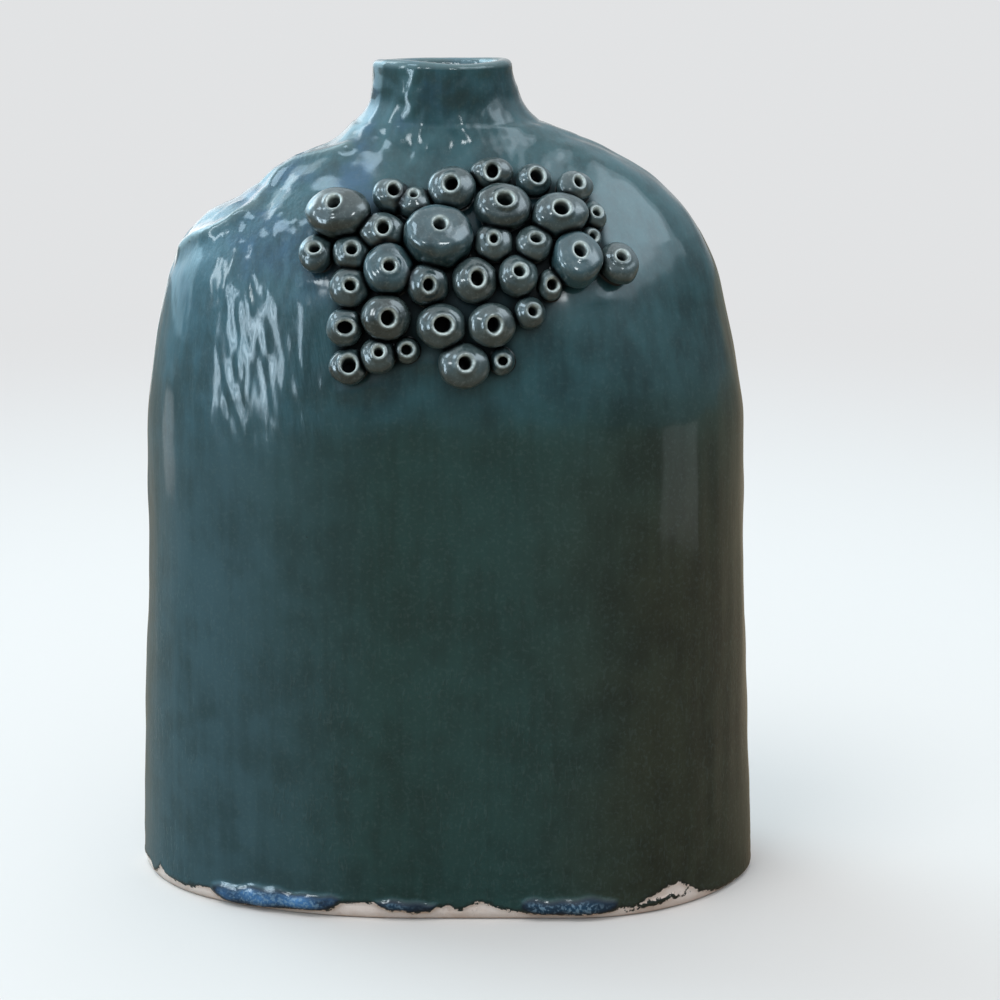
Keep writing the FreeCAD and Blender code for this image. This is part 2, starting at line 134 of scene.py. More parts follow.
# short ways to add and link nodes of one tree
class Nodes:
    def __init__(self, tree):
        self.tree = tree

    # links outputs to sockets, by name or number, or sets the sockets' own values
    def feed(self, sockets, values):
        for key, value in values.items():
            if isinstance(value, bpy.types.NodeSocket):
                self.tree.links.new(value, sockets[key])
            else:
                sockets[key].default_value = value

    def add(self, kind, inputs=(), **settings):
        made = self.tree.nodes.new(kind)
        for name, value in settings.items():
            setattr(made, name, value)
        self.feed(made.inputs, dict(inputs))
        return made

    # a socket of the whole group
    def socket(self, name, kind, way="INPUT"):
        return self.tree.interface.new_socket(name, in_out=way, socket_type="NodeSocket" + kind)

    def maths(self, operation, a, b=0.0, c=0.0):
        return self.add("ShaderNodeMath", enumerate((a, b, c)), operation=operation).outputs[0]

    def product(self, first, *others):
        for other in others:
            first = self.maths("MULTIPLY", first, other)
        return first

    def plus(self, first, *others):
        for other in others:
            first = self.maths("ADD", first, other)
        return first

    # the sum of values, each times its weight
    def weigh(self, *pairs):
        return self.plus(*(self.product(*pair) for pair in pairs))

    # smoothly from one number to another as a value goes from low to high
    def span(self, value, low, high, to=(0.0, 1.0)):
        inputs = enumerate((value, low, high, *to))
        return self.add("ShaderNodeMapRange", inputs, interpolation_type="SMOOTHSTEP").outputs[0]

    def mix(self, share, a, b, kind="MIX"):
        inputs = {"Factor": share, 6: a, 7: b}
        return self.add("ShaderNodeMix", inputs, data_type="RGBA", blend_type=kind).outputs[2]

    def noise(self, place, scale, detail=2.0, rough=0.5):
        inputs = {"Vector": place, "Scale": scale, "Detail": detail, "Roughness": rough}
        return self.add("ShaderNodeTexNoise", inputs).outputs["Fac"]

    def stretch(self, place, factors):
        return self.add("ShaderNodeVectorMath", {0: place, 1: factors}, operation="MULTIPLY").outputs[0]

    def attribute(self, name):
        return self.add("ShaderNodeAttribute", attribute_name=name).outputs["Fac"]

    def place(self):
        return self.add("ShaderNodeTexCoord").outputs["Object"]

    def split(self, vector):
        return self.add("ShaderNodeSeparateXYZ", {0: vector}).outputs


# The skin over the walls and the collar: its rows run up and its columns run round.
body = {
    "frontColumns": 290,
    "backColumns": 110,
    "footRows": (0.1, 0.3, 0.6, 1.0, 1.5, 2.1, 2.7, 3.3, 3.9, 4.5, 5.1, 5.7, 6.3, 6.9, 7.6, 8.4),
    "rowSteps": ((9.4, 145, 1.65), (145, 200, 1.15), (200, 232, 0.72), (232, 247.2, 0.95)),
    "innerRows": (246, 240, 234, 229, 224, 218, 211, 203, 194, 184, 172, 158, 140, 110, 80, 50, 25, 9),
    "rimStart": 247.6,  # the last row of the collar's upright, below the lip
    "rimTop": 250.0,
    "rimDrop": 0.5,  # how far the lip's mean stays under that
    "rimWaves": ((0.35, 2, 0.7), (0.2, 3, 2), (-0.3, 1, 0)),
    "lipSteps": 11,
    "lipWaves": ((0.08, 2, 2), (0.05, 5, 0)),  # shares of the lip's wall
    "wall": 5.2,
    "lipWall": 4.4,
    "lipHeights": (225, 240),  # where the wall thins to the lip's
    "soleInsets": (0.6, 2.6, 5.4),
    "soleRise": 0.3,
    "far": 200,  # where the rays that find the walls start
    "besideSeam": -0.06,
    "endShare": 0.9,  # how far the columns' centres spread towards the ends
    "columnPasses": 12,
    "rowPasses": 4,
    "lean": (146, 20, 0.9, 180),  # where the walls start to lean: height, reach, share and passes
    "undulation": 0.42,  # hand-pressed slab, over lengths of about undulationSize
    "undulationSize": 42,
    "ripple": 0.11,
    "rippleSize": 13,
    "seed": 5,
}

# What the hands left on the skin. A mark has how proud it stands, where its middle is and how
# wide it is, or between which places it comes in. Ripples have a height, a size and a seed.
marks = {
    "dentFrom": (0.3, 0.95),  # shares of the way out to the left end
    "seam": {"proud": 1.3, "wide": 2.1, "before": 3, "up": (190, 203)},
    "groove": {"proud": -0.5, "off": 5.5, "wide": 3.2, "before": 1, "across": (-25, -45)},
    "ends": {"proud": 0.35, "wide": 1.8, "beyond": 40, "up": (8, 14)},
    "long": 9.0,  # how much longer the runs and streaks are than wide
    "streaks": {"coarse": (0.085, 4.6, 21), "fine": (0.055, 2.3, 25), "fan": 0.22, "fanFrom": 170,
                "across": (-52, 20), "up": (132, 150), "out": (206, 216)},
    "dents": {"all": (0.06, 13, 33), "across": (-58, 26), "up": (135, 150)},
    "runs": {"all": (0.05, 7, 22), "above": 10},
    "neck": {"coarse": (0.16, 9, 31), "fine": (0.05, 4, 32), "up": (216, 228)},
    "fold": {"proud": 0.22, "up": (150, 6), "slant": 0.03, "across": (-45, -10)},
    "sponge": {"proud": 0.12, "up": (14, 5), "across": (20, 34), "pitch": 0.8, "sway": (0.6, 9)},
    "keepFoot": (0.1, 1.2),  # the very foot stays flat
}

# How far the left shoulder is dented (-) or swollen (+) against the plain wall, by height.
leftDent = [(196, 0), (202, -0.4), (206, -1.2), (210, -4.3), (214, -3.4), (218, 1.3),
            (222, 3.7), (226, 1.8), (230, 1.7), (234, 0.6), (238, 0)]
# The pinched seam over the left shoulder, as places across, deep and high.
leftSeam = [(-78.2, -4, 195.6), (-72.6, -9.7, 199.3), (-66.7, -14.6, 201.8),
            (-61.2, -16.3, 204.9), (-55.6, -16, 208.9), (-51.9, -11, 214.1), (-47.8, -7.7, 217.5),
            (-42, -6.4, 220.5), (-34.5, -9.2, 223.1), (-27.3, -11.8, 225.1)]

# Where the glaze ends over the bare foot, by place across the front.
glazeEdge = [(-97, 3.4), (-92.7, 3.8), (-91.3, 1.2), (-88.7, 5), (-87, 3.4), (-85.5, 3), (-81.5, 2.6),
             (-77.5, 3.2), (-72, 4.2), (-69.5, 2.4), (-67, 1.4), (-61, 1.15), (-49, 1.8),
             (-34.6, 2.3), (-32.5, 3.4), (-31.6, 4.8), (-25.3, 5.1), (-20.3, 5.1), (-19.3, 4.3),
             (-16.9, 2.9), (-13, 3.2), (-10, 2.4), (-4.6, 2.7), (-2.8, 4.1), (1.8, 4.8),
             (2.9, 3.6), (5.6, 3.5), (6.8, 4.7), (10.7, 5.7), (13.7, 4.8), (16.6, 3.4),
             (19.3, 3), (25, 2.2), (38.8, 1.8), (50, 2.2), (53, 3.4), (55.5, 2.7), (59, 4.4),
             (63, 6.2), (67, 7.6), (70.5, 8.2), (72.5, 6.6), (76.4, 3.5), (80.4, 1.7), (84, 0.9), (97, 0.5)]
# Rolls of thick glaze over that edge: from, to, top and how proud.
rolls = [(-70, -31.5, 7.0, 1.9), (-20.5, -3, 6.1, 1.4), (23, 51, 6.7, 1.8)]
# Drops of glaze that ran together under the beads: place across and up, reach both ways, and
# how proud.
drops = [(-26.5, 160, 4.5, 2.2, 0.45), (-19.5, 162, 3.5, 2.6, 0.4), (-37.5, 190.3, 3.5, 1.6, 0.4),
         (-33, 162.5, 1.6, 3.5, 0.35), (-4, 168.5, 3, 1.8, 0.3), (44, 185.5, 4, 1.6, 0.3)]


# heights of the body's rows, closer where the shape turns
def skinRows():
    heights = list(body["footRows"])
    for low, high, step in body["rowSteps"]:
        heights += list(np.arange(low, high, step))
    return heights + [body["rimStart"]]


def skinAngles():
    front = math.pi + math.pi * (np.arange(body["frontColumns"]) + 0.5) / body["frontColumns"]
    back = math.pi * (np.arange(body["backColumns"]) + 0.5) / body["backColumns"]
    return np.concatenate([front, back])


# the outer skin of the walls as rows and columns of points
def castSkin(tree):
    angles = skinAngles()
    far, beside = body["far"], body["besideSeam"]
    rows = []
    for height in skinRows():
        left = castFrom(tree, (-far, beside, height), (1, 0, 0))[0]
        right = castFrom(tree, (far, beside, height), (-1, 0, 0))[0]
        middle, reach = (left + right) / 2, (right - left) / 2
        depth = -castFrom(tree, (middle, -far, height), (0, 1, 0))[1]
        inset = max(body["endShare"] * (reach - depth), 0)
        row = []
        for angle in angles:
            way = np.array([math.cos(angle), math.sin(angle), 0])
            foot = np.array([middle + inset * way[0], 0, height])
            hit = castFrom(tree, foot + far * way, -way)
            row.append(row[-1] if hit is None else hit)
        rows.append(row)
    return np.array(rows)


def soften(grid):
    for _ in range(body["columnPasses"]):
        grid = (np.roll(grid, 1, axis=1) + 2 * grid + np.roll(grid, -1, axis=1)) / 4
    heights = grid[:, :, 2].copy()
    for _ in range(body["rowPasses"]):
        inner = (grid[:-2] + 2 * grid[1:-1] + grid[2:]) / 4
        grid = np.concatenate([grid[:1], inner, grid[-1:]])
    grid[:, :, 2] = heights
    # the walls' lean starts without a crease
    middle, reach, most, passes = body["lean"]
    share = most * bump(heights, middle, reach)[1:-1, :, None]
    for _ in range(passes):
        inner = (grid[:-2] + 2 * grid[1:-1] + grid[2:]) / 4
        grid[1:-1] = grid[1:-1] * (1 - share) + inner * share
    return grid


def gridNormals(grid):
    along = np.roll(grid, -1, axis=1) - np.roll(grid, 1, axis=1)
    up = np.gradient(grid, axis=0)
    normals = np.cross(along, up)
    return normals / np.linalg.norm(normals, axis=2, keepdims=True)


# distance of points to a line of places
def distanceToLine(points, line):
    nearest = np.full(points.shape[:-1], np.inf)
    line = np.asarray(line, dtype=float)
    for start, end in zip(line, line[1:]):
        run = end - start
        share = np.clip(((points - start) @ run) / (run @ run), 0, 1)
        nearest = np.minimum(nearest, np.linalg.norm(points - start - share[..., None] * run, axis=-1))
    return nearest


# how far the dents, seams and wiped streaks stand out of the skin, x, y and z being the plain wall's
def handMarks(grid, seam, x, y, z):
    def rippled(points, kind):
        height, size, seed = kind
        return height * ripple(points, size, seed)

    front = y < 0
    mark = marks["seam"]
    out = mark["proud"] * bump(seam, 0, mark["wide"]) * (y < mark["before"]) * smoothstep(*mark["up"], z)
    mark = marks["groove"]
    hollow = mark["proud"] * bump(seam, mark["off"], mark["wide"])
    out += hollow * (y < mark["before"]) * smoothstep(*mark["across"], x)
    mark = marks["ends"]
    sides = bump(y, 0, mark["wide"]) * (np.abs(x) > mark["beyond"]) * smoothstep(*mark["up"], z)
    out += mark["proud"] * sides * (0.6 + 0.5 * np.sin(z / 9 + 1) + 0.3 * np.sin(z / 3.7))
    # wiped streaks, nearly upright, strongest at the upper left
    stretched = grid / np.array([1, 1, marks["long"]])
    mark = marks["streaks"]
    fanned = stretched.copy()
    fanned[..., 0] += mark["fan"] * (z - mark["fanFrom"])
    streaks = rippled(fanned, mark["coarse"]) + rippled(fanned, mark["fine"])
    zone = bump(x, *mark["across"]) * smoothstep(*mark["up"], z) * (1 - smoothstep(*mark["out"], z)) * front
    out += streaks * zone
    mark = marks["dents"]
    out += rippled(grid, mark["all"]) * bump(x, *mark["across"]) * smoothstep(*mark["up"], z) * front
    mark = marks["runs"]
    out += rippled(stretched, mark["all"]) * (z > mark["above"])
    mark = marks["neck"]
    out += (rippled(grid, mark["coarse"]) + rippled(grid, mark["fine"])) * smoothstep(*mark["up"], z)
    # the front folds back a little over a soft ridge
    mark = marks["fold"]
    out += mark["proud"] * bump(z + x * mark["slant"], *mark["up"]) * front * smoothstep(*mark["across"], x)
    mark = marks["sponge"]
    sway, length = mark["sway"]
    sponged = bump(z, *mark["up"]) * front * bump(x, *mark["across"])
    out += mark["proud"] * sponged * np.sin(z / mark["pitch"] + sway * np.sin(x / length))
    for across, up, wide, tall, height in drops:
        out += height * bump(x, across, wide) * bump(z, up, tall) * front
    return out


# how high the bare clay goes at each point of the skin
def edgeHeight(grid):
    x, y = grid[..., 0], grid[..., 1]
    front = np.interp(x, *zip(*glazeEdge))
    back = 2.6 + 0.9 * np.sin(x / 7.3 + 1) + 0.7 * np.sin(x / 3.1 + 2) + 0.5 * np.sin(x / 17)
    share = smoothstep(-6, 6, y)
    return front * (1 - share) + back * share


# how far the rolls of thick glaze stand out
def rollProud(grid):
    x, y, z = np.moveaxis(grid, -1, 0)
    proud = np.zeros(x.shape)
    for start, end, top, height in rolls:
        along = np.clip(np.abs(2 * x - start - end) / (end - start + 2), 0, 1)
        span = (1 - along ** 4) ** 0.5  # the ends are rounded
        foot = np.interp(x, *zip(*glazeEdge))
        crest = top + 0.45 * np.sin(x / 3.1) + 0.3 * np.sin(x / 1.35 + 1)
        middle, half = (crest + foot) / 2, np.maximum((crest - foot) / 2, 1.2)
        arch = np.clip(1 - ((z - middle) / (half * (0.5 + 0.85 * span))) ** 2, 0, 1)
        lumpy = 0.88 + 0.12 * np.sin(x / 2.2 + 0.5 * z)
        proud = np.maximum(proud, height * span * arch * lumpy)
    return proud * (y < 0)


# adds what the hands and the glaze did, and tells where the glaze is, and the rolls and the seam
def shapeSkin(plain):
    x, y, z = np.moveaxis(plain, -1, 0)
    reach = -x.min(axis=1, keepdims=True)
    grid = plain.copy()
    grid[..., 0] -= np.interp(z, *zip(*leftDent)) * smoothstep(*marks["dentFrom"], -x / reach)
    normals = gridNormals(grid)
    seam = distanceToLine(grid, leftSeam)
    out = handMarks(grid, seam, x, y, z)
    over = z - edgeHeight(grid)
    # a thin island of glaze in the bare clay at the right
    island = np.minimum(0.75 - np.abs(z - 3.3 - 0.12 * (x - 62)), np.minimum(x - 57, 70 - x) / 8)
    over = np.where(y < 0, np.maximum(over, island), over)
    glazed = smoothstep(-0.35, 0.45, over)
    out += -0.35 * (1 - glazed) + 0.16 * bump(over, 1.1, 0.9)  # bare clay lies lower, the edge is thick
    proud = rollProud(grid)
    out += proud
    grid += normals * (out * smoothstep(*marks["keepFoot"], z))[..., None]
    grid[0, :, 2] = body["footRows"][0]
    return grid, over, proud, seam


# rings over the lip, from the last row round to the inner face
def rimRings(last, normals):
    flat = normals.copy()
    flat[:, 2] = 0
    flat /= np.linalg.norm(flat, axis=1, keepdims=True)
    angles = np.arctan2(last[:, 1], last[:, 0])
    wave = waveRound(angles, body["rimWaves"])
    half = body["lipWall"] / 2 * waveRound(angles, body["lipWaves"], 1)
    tall = body["rimTop"] - body["rimStart"] - body["rimDrop"]
    rings = []
    for step in range(1, body["lipSteps"] + 1):
        turn = math.pi * step / body["lipSteps"]
        ring = last - flat * (half * (1 - math.cos(turn)))[:, None]
        ring[:, 2] = last[:, 2] + (tall + wave) * math.sin(turn) ** 0.8
        rings.append(ring)
    return rings


# the whole skin, out, over the lip, down inside and under the foot, and its ring inside the foot
def buildBody():
    solids = ("front_slab", "back_slab", "neck_collar", "floor_slab")
    tree = treeOf([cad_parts[name] for name in solids])
    grid, glazeAt, proud, seam = shapeSkin(soften(castSkin(tree)))
    normals = gridNormals(grid)
    rim = rimRings(grid[-1], normals[-1])
    inner = []
    for height in body["innerRows"]:
        row = int(np.argmin(np.abs(grid[:, 0, 2] - height)))
        wall = np.interp(height, body["lipHeights"], (body["wall"], body["lipWall"]))
        inner.append(grid[row] - normals[row] * wall)
    near, sole, foot = (grid[0] - normals[0] * inset for inset in body["soleInsets"])
    near[:, 2] = sole[:, 2] = 0
    foot[:, 2] = body["soleRise"]
    rings = [near, *grid, *rim, *inner, foot, sole]
    columns = grid.shape[1]
    made = makeObject("vaseBody", np.concatenate(rings), ringFaces(len(rings), columns, closed=True))
    extra = len(rings) - 1 - len(grid)

    def wholeSkin(values, first=0.0, last=0.0):
        return np.concatenate([np.full((1, columns), first), values, np.full((extra, columns), last)])

    glazeAt = wholeSkin(glazeAt, -3.0, 9.0)
    glazeAt[-3:] = -3.0
    paint(made, "glazeAt", glazeAt)
    paint(made, "proud", wholeSkin(proud))
    # glaze is thin over the seam, the lip and the first rows inside
    thin = wholeSkin(bump(seam, 0, 1.6) * (grid[..., 1] < marks["seam"]["before"]))
    thin[-extra:] = np.interp(np.arange(extra), (0, 11, 13, 15), (0.5, 0.6, 0.6, 0))[:, None]
    paint(made, "thin", thin)
    soft = np.ones((len(rings), columns))
    soft[:4] = soft[-4:] = 0
    soft[4:10] = np.linspace(0.1, 0.9, 6)[:, None]
    paint(made, "soft", soft)
    return made, foot


# a node tree that lets a surface swell and sink like hand-pressed clay, and gives it a material
def skinTree():
    group = bpy.data.node_groups.new("pressedClay", "GeometryNodeTree")
    n = Nodes(group)
    sockets = {"Geometry": n.socket("Geometry", "Geometry")}
    for name, value in (("Undulation", 0.0004), ("Undulation Size", 0.04), ("Ripple", 0.0001),
                        ("Ripple Size", 0.012), ("Seed", 1.0)):
        sockets[name] = n.socket(name, "Float")
        sockets[name].default_value = value
    sockets["Material"] = n.socket("Material", "Material")
    n.socket("Geometry", "Geometry", "OUTPUT")
    given, result = n.add("NodeGroupInput").outputs, n.add("NodeGroupOutput").inputs
    place = n.add("GeometryNodeInputPosition").outputs[0]
    total = 0.0
    for height, size in (("Undulation", "Undulation Size"), ("Ripple", "Ripple Size")):
        scale = n.maths("DIVIDE", 1.0, given[size])
        inputs = {"Vector": place, "W": given["Seed"], "Scale": scale, "Detail": 1.0}
        wave = n.add("ShaderNodeTexNoise", inputs, noise_dimensions="4D")
        centred = n.maths("SUBTRACT", wave.outputs["Fac"], 0.5)
        total = n.maths("MULTIPLY_ADD", centred, given[height], total)
    soft = n.add("GeometryNodeInputNamedAttribute", {"Name": "soft"}, data_type="FLOAT")
    reach = n.maths("MULTIPLY", total, soft.outputs["Attribute"])
    normal = n.add("GeometryNodeInputNormal").outputs[0]
    moved = n.add("ShaderNodeVectorMath", {0: normal, "Scale": reach}, operation="SCALE").outputs[0]
    put = n.add("GeometryNodeSetPosition", {"Geometry": given["Geometry"], "Offset": moved})
    real = n.add("GeometryNodeRealizeInstances", {0: put.outputs[0]})
    dress = n.add("GeometryNodeSetMaterial", {"Geometry": real.outputs[0], "Material": given["Material"]})
    n.feed(result, {0: dress.outputs[0]})
    return group, {name: socket.identifier for name, socket in sockets.items()}


# runs the node tree on a mesh and keeps the plain result
def pressClay(made, group, identifiers, values, material):
    modifier = made.modifiers.new("pressedClay", "NODES")
    modifier.node_group = group
    for name, value in values.items():
        modifier[identifiers[name]] = float(value)
    modifier[identifiers["Material"]] = material
    made.update_tag()
    bpy.context.view_layer.update()
    evaluated = made.evaluated_get(bpy.context.evaluated_depsgraph_get())
    mesh = bpy.data.meshes.new_from_object(evaluated)
    made.modifiers.remove(modifier)
    old = made.data
    made.data = mesh
    bpy.data.meshes.remove(old)
    mesh.name = made.name
    mesh.polygons.foreach_set("use_smooth", [True] * len(mesh.polygons))


# The crust of pierced beads. Levels are shares of how far a bead stands out of the wall.
crust = {
    "step": 0.42,  # of the net that the beads are drawn with
    "equator": 0.53,  # level at which a bead is widest
    "under": 0.66,  # from there down to its underside
    "squareness": 2.35,
    "flatTop": 3.1,  # squareness of the teal beads
    "oval": (0.9, 1.12),  # of the hole
    "turn": (-0.12, 0.12),  # how the hole leans off the bead's axis
    "tone": (0, 0.5),  # from the beads' own grey to the body's teal
    "meniscus": 1.5,  # glaze drawn up the bead's foot
    "overWall": 0.14,  # how thin that glaze runs out under the wall's skin
    "sunk": 1.4,  # the bead's back, under the wall
    "backed": 1.9,
    "lipOut": 0.75,  # the lip's ring, out from the hole's edge
    "lipLevel": 0.955,
    "lipTube": 0.4,
    "lipBlend": 1.2,
    "lipRound": 0.8,
    "holeFloor": 0.1,
    "wobble": 0.075,
    "wobbleSize": 6.5,
    # the dark pools round the beads are partly pooled glaze and partly painted shade in the crevices
    "poolShadeReach": 1.7,  # how far the dark pools reach from a bead
    "poolShadeDeep": -10,
    "poolShadeUp": (150, 236),
    "poolShadeAcross": 66,
    # painted shade: a crevice between near beads, and a bead's foot by the wall, is painted dark
    "neighbours": 24,  # beads farther off than this don't darken a crevice
    "openAt": (0.15, 2.0),
    "mapFrom": (-62.0, 146.0),  # corner of the wall's height map, and its counts of 1 mm
    "mapCounts": (140, 94),
    "mapFar": -120,
    "seed": 40,
}

# Each bead's place across and up the wall, its width and height along the wall, how far it
# stands out, its lean up and to the right in degrees, and its hole.
beads = [
    (-28.1, 205.7, 18.8, 14.7, 10.6, 12, -3, 3.7), (-14.9, 211.7, 10.9, 10.1, 6.8, 8, 20, 3.3),
    (-8.1, 209.7, 10.2, 9.4, 6.4, 20, 3, 2.1), (3, 213.8, 13.9, 12.8, 7.9, -3, -4, 3.9),
    (-35.1, 196.3, 9.6, 11.3, 6.5, 14, 6, 2.8), (-25.6, 197, 10.7, 10.5, 6.5, 7, 14, 3),
    (-16.9, 202.4, 13.1, 11, 7.3, 3, 10, 3.5), (-1.5, 199.6, 19.4, 17.3, 11.8, 17, 6, 3.6),
    (-15.3, 192.9, 14.1, 14.5, 8.7, 2, 11, 3.1), (-26.6, 188, 11.3, 11.6, 7.3, 5, 20, 3),
    (-4.4, 189.9, 11.9, 12.6, 7.4, -10, 11, 3.2), (8.4, 190.1, 12.9, 13.1, 8, 2, 12, 3.9),
    (-16.4, 180.9, 14, 13, 8.3, -3, 18, 4), (-27.5, 177.8, 10.3, 11.3, 6.5, 0, 18, 3.8),
    (-0.8, 178.1, 14.1, 12.9, 8.2, 6, 8, 4.6), (13.5, 178.8, 13.4, 12.6, 7.9, 0, 9, 3.9),
    (-26.5, 166.4, 10.7, 10.4, 6.5, 16, 13, 4.1), (-18, 169.5, 10.2, 10.4, 6.8, 20, 11, 2.6),
    (-10, 171.6, 7.3, 7.2, 4.4, 9, 8, 2.8), (5.7, 166.7, 14.5, 13.1, 8.5, 15, 7, 3.7),
    (16.9, 168.3, 6.8, 7.7, 4.4, 12, 1, 2.5), (23.7, 181.7, 8.8, 9.2, 6, 9, 20, 2.7),
    (29.7, 189.5, 7, 8.9, 4.8, -7, 8, 2.9), (20.6, 190.8, 11.3, 12.2, 7.4, 13, 10, 3.1),
    (14.5, 199.9, 11, 11.2, 6.7, 4, 1, 2.4), (25.3, 199.3, 10.5, 10.7, 6.7, 9, 7, 2.7),
    (37, 194, 14.1, 15.9, 9.6, 15, 0, 3.7), (41, 201.4, 6.6, 6.3, 3.9, -10, 8, 2),
    (49.3, 192.8, 10.8, 12.9, 7.4, 17, -8, 2.9), (42.5, 206.5, 6.2, 8.8, 4.5, 2, 0, 2.1),
    (32.5, 206.2, 16.3, 12.8, 8.8, 2, -1, 4.1), (16.5, 208.2, 16.2, 13.7, 9.3, 7, 7, 4.2),
    (13.9, 218.9, 12.4, 8.7, 6.2, -17, -1, 3.5), (24.9, 216.3, 10.6, 9.3, 6, -7, 9, 3.7),
    (36.3, 213.8, 11, 9.2, 6.3, -1, 11, 2.7),
]
tealBeads = (7, 8, 26)  # counted from 0: these took the body's teal


# the body's front as a height map, with its distance and outward direction
class Wall:
    def __init__(self, made):
        tree = treeOf([made])
        self.low = np.array(crust["mapFrom"])
        self.depths = np.zeros(crust["mapCounts"])
        for i, j in np.ndindex(crust["mapCounts"]):
            hit = castFrom(tree, (self.low[0] + i, crust["mapFar"], self.low[1] + j), (0, 1, 0))
            if hit is not None and hit[1] < 0:
                self.depths[i, j] = hit[1]
        self.slopeX, self.slopeZ = np.gradient(self.depths)

    def read(self, values, x, z):
        i = np.clip(x - self.low[0], 0, values.shape[0] - 1.001)
        j = np.clip(z - self.low[1], 0, values.shape[1] - 1.001)
        a, b = i.astype(int), j.astype(int)
        s, t = i - a, j - b
        low = values[a, b] * (1 - t) + values[a, b + 1] * t
        high = values[a + 1, b] * (1 - t) + values[a + 1, b + 1] * t
        return low * (1 - s) + high * s

    def distance(self, p):
        x, z = p[..., 0], p[..., 2]
        slope = 1 + self.read(self.slopeX, x, z) ** 2 + self.read(self.slopeZ, x, z) ** 2
        return (self.read(self.depths, x, z) - p[..., 1]) / np.sqrt(slope)

    def seat(self, x, z):
        depth, slopeX, slopeZ = (self.read(each, x, z) for each in (self.depths, self.slopeX, self.slopeZ))
        return np.array([x, depth, z]), unit(np.array([slopeX, -1, slopeZ]))


def softLeast(a, b, blend):
    near = np.clip(blend - np.abs(a - b), 0, None) / blend
    return np.minimum(a, b) - near * near * blend / 4


# one pierced ball of clay: its own axes and its distance
class Bead:
    def __init__(self, index, wall):
        x, z, self.width, self.height, self.stand, up, right, self.hole = beads[index]
        self.wall = wall
        self.seat, outward = wall.seat(x, z)
        upward = unit(np.array([0, 0, 1.0]) - outward * outward[2])
        side = np.cross(upward, outward)
        side *= math.copysign(1, side[0])
        up, right = np.tan(np.radians((up, right)))
        axis = unit(outward + upward * up + side * right)
        side = unit(side - axis * (side @ axis))
        self.axes = np.array([side, np.cross(axis, side), axis])
        if self.axes[1][2] < 0:
            self.axes[1] *= -1
        self.seed = crust["seed"] + index
        rng = np.random.default_rng(self.seed)
        self.oval = rng.uniform(*crust["oval"])
        self.turn = rng.uniform(*crust["turn"], 2)
        self.tone = 1.0 if index in tealBeads else rng.uniform(*crust["tone"])

    def local(self, p):
        return (p - self.seat) @ self.axes.T

    # distance to the ball alone, before it is pierced
    def solid(self, q):
        rise = crust["equator"] * self.stand
        above, below = self.stand - rise, crust["under"] * self.stand
        half = np.array([self.width / 2, self.height / 2])
        flat = q[..., :2] / half
        tall = (q[..., 2] - rise) / np.where(q[..., 2] > rise, above, below)
        power = crust["flatTop"] if self.tone == 1 else crust["squareness"]
        reach = ((flat**2).sum(axis=-1) ** (power / 2) + np.abs(tall) ** power) ** (1 / power)
        scale = np.sqrt(((flat / half) ** 2).sum(axis=-1) + (tall / above) ** 2)
        return reach * (reach - 1) / np.maximum(scale, 1e-4)

    # distance from the hole's axis, in the hole's own slight oval
    def holeAt(self, q):
        u = q[..., 0] - self.turn[0] * (q[..., 2] - self.stand)
        v = q[..., 1] - self.turn[1] * (q[..., 2] - self.stand)
        return np.sqrt((u * self.oval) ** 2 + (v / self.oval) ** 2)

    def distance(self, p):
        q = self.local(p)
        ball = self.solid(q)
        ball = ball + crust["wobble"] * ripple(p, crust["wobbleSize"], self.seed)
        out = self.holeAt(q)
        radius = self.hole / 2
        above = q[..., 2] - self.stand * crust["lipLevel"]
        tube = np.sqrt((out - radius - crust["lipOut"]) ** 2 + above ** 2) - crust["lipTube"]
        ball = softLeast(ball, tube, crust["lipBlend"])
        bore = np.maximum(out - radius, crust["holeFloor"] * self.stand - q[..., 2])
        return -softLeast(-ball, bore, crust["lipRound"])

    # distance to what shows: the ball with the glaze drawn up from the wall, closed behind
    def skin(self, p):
        ball, wall = self.distance(p), self.wall.distance(p)
        joined = softLeast(ball, wall + crust["overWall"], crust["meniscus"])
        joined = np.maximum(joined, -(wall + crust["sunk"]))
        return np.maximum(joined, ball - crust["backed"])


# a closed net of quads round the inside of a field of distances
def netOf(field, low, step):
    inside = field < 0
    size = np.array(field.shape) - 1

    def cut(values, i, j, k):
        return values[i:i + size[0], j:j + size[1], k:k + size[2]]

    count = sum(cut(inside, *corner).astype(int) for corner in np.ndindex(2, 2, 2))
    active = (count > 0) & (count < 8)
    index = np.full(active.shape, -1)
    index[active] = np.arange(active.sum())
    total = np.zeros((*active.shape, 3))
    crossings = np.zeros(active.shape)
    for axis, *start in np.ndindex(3, 2, 2):
        start.insert(axis, 0)
        end = list(start)
        end[axis] = 1
        a, b = cut(field, *start), cut(field, *end)
        crossed = (a < 0) != (b < 0)
        share = np.where(crossed, a / np.where(crossed, a - b, 1), 0)
        at = np.zeros((*active.shape, 3)) + np.array(start, dtype=float)
        at[..., axis] += share
        total += at * crossed[..., None]
        crossings += crossed
    cells = np.argwhere(active)
    points = cells + total[active] / crossings[active][:, None]
    points = np.asarray(low) + points * step
    faces = []
    for axis in range(3):
        around = [other for other in range(3) if other != axis]
        for spot in np.argwhere(np.diff(inside, axis=axis)):
            quad = []
            for steps in ((-1, -1), (0, -1), (0, 0), (-1, 0)):
                cell = spot.copy()
                cell[around] += steps
                quad.append(int(index[tuple(cell)]))
            forward = inside[tuple(spot)] != (axis == 1)
            faces.append(quad if forward else quad[::-1])
    return points, faces


